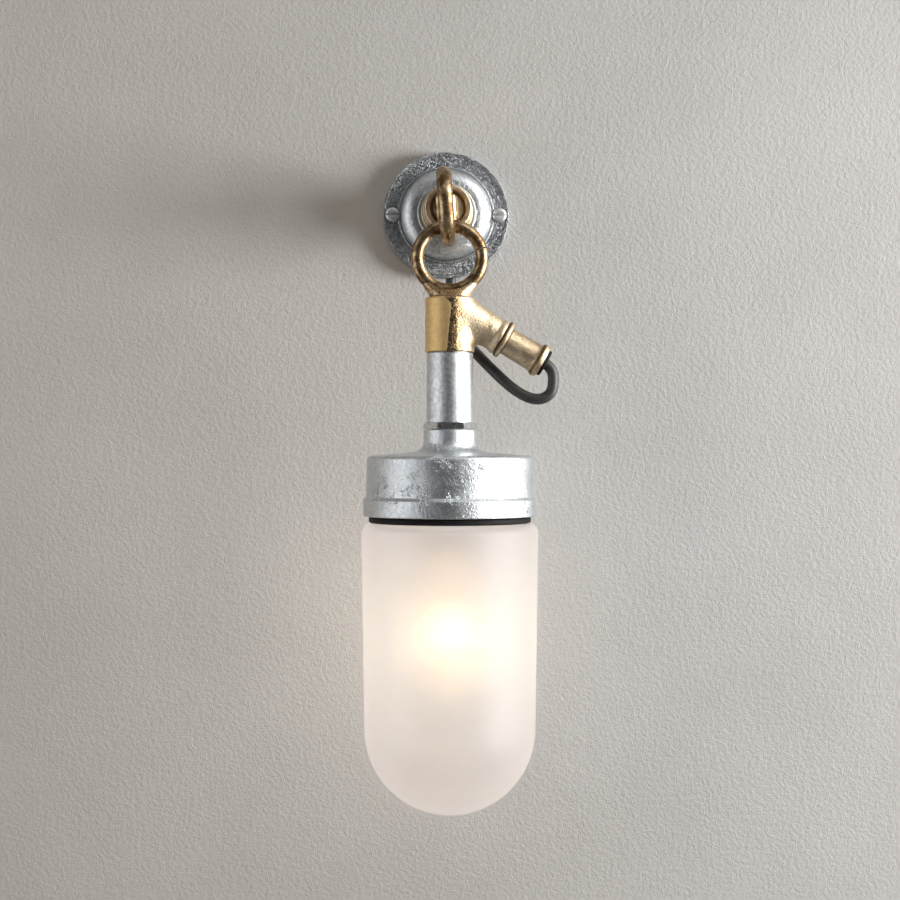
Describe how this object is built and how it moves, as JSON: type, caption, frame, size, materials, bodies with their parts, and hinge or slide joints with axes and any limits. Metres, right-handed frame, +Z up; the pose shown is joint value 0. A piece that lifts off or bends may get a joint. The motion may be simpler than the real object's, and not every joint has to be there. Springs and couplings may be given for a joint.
{
  "type": "well glass wall light",
  "caption": "Outdoor wall light: frosted well glass under a cast hood on a short stem, hung by a brass ring from an eye on a round wall plate, with a loop of flex into a side gland.",
  "frame": {"origin": "centre of the wall plate's back face, on the wall", "axes": "+Z up, +Y into the wall, +X to the right as seen from the room"},
  "size_m": [0.114, 0.1409, 0.3904],
  "materials": {
    "cast_galvanised": "galvanised, mottled and pitted cast surface",
    "galvanised_tube": "galvanised, smoother than the castings",
    "plated_steel": "plated, slightly worn",
    "cast_brass": "rough cast, tumbled to a shine on the high spots",
    "turned_brass": "turned satin",
    "black_rubber": "matte",
    "flex_sheath": "matte with a soft sheen",
    "core_brown": "smooth insulation",
    "core_blue": "smooth insulation",
    "core_green": "smooth insulation",
    "moulding_white": "moulded",
    "porcelain": "glazed",
    "frosted_glass": "frosted",
    "clear_glass": "clear",
    "black_glass": "gloss",
    "solder_tip": "dull",
    "filament": "lit"
  },
  "bodies": {
    "wall_fixing": {"wall_plate": "cast_galvanised", "plate_screws": "plated_steel", "collar_nut": "turned_brass", "eye_bush": "turned_brass", "terminal_block": "moulding_white", "terminal_screws": "turned_brass", "plate_core_line": "core_brown", "plate_core_neutral": "core_blue", "plate_core_earth": "core_green", "flex_upper": "flex_sheath"},
    "eye": {"wall_eye": "cast_brass"},
    "lamp": {"hanging_ring": "cast_brass", "entry_body": "cast_brass", "gland_nut": "turned_brass", "gland_washer": "turned_brass", "gland_packing": "black_rubber", "mouth_bush": "black_rubber", "flex_lower": "flex_sheath", "inner_flex": "flex_sheath", "core_line": "core_brown", "core_neutral": "core_blue", "core_earth": "core_green", "stem_tube": "galvanised_tube", "lock_nut": "galvanised_tube", "nipple": "galvanised_tube", "nipple_nut": "plated_steel", "hood": "cast_galvanised", "holder_bracket": "plated_steel", "bracket_screws": "plated_steel", "holder_body": "porcelain", "holder_shell": "turned_brass", "centre_contact": "turned_brass", "holder_terminals": "turned_brass", "earth_screw": "turned_brass"},
    "glass": {"well_glass": "frosted_glass", "hood_gasket": "black_rubber"},
    "bulb": {"bulb_cap": "turned_brass", "bulb_insulator": "black_glass", "bulb_button": "solder_tip", "bulb_envelope": "clear_glass", "bulb_mount": "clear_glass", "bulb_filament": "filament"}
  },
  "joints": [
    {"name": "eye_swivel", "type": "hinge", "parent": "wall_fixing", "child": "eye", "pos_m": [0, -0.042, 0], "axis": [0, 1, 0], "range_deg": [-25, 25], "deforming": ["flex_upper"]},
    {"name": "lamp_swing", "type": "hinge", "parent": "eye", "child": "lamp", "pos_m": [0, -0.063, -0.01335], "axis": [-1, 0, 0], "range_deg": [-2.5, 40], "deforming": ["flex_lower"]},
    {"name": "glass_release", "type": "slide", "parent": "lamp", "child": "glass", "axis": [0, 0, -1], "range_m": [0, 0.12]},
    {"name": "bulb_release", "type": "slide", "parent": "lamp", "child": "bulb", "axis": [0, 0, -1], "range_m": [0, 0.025]}
  ]
}
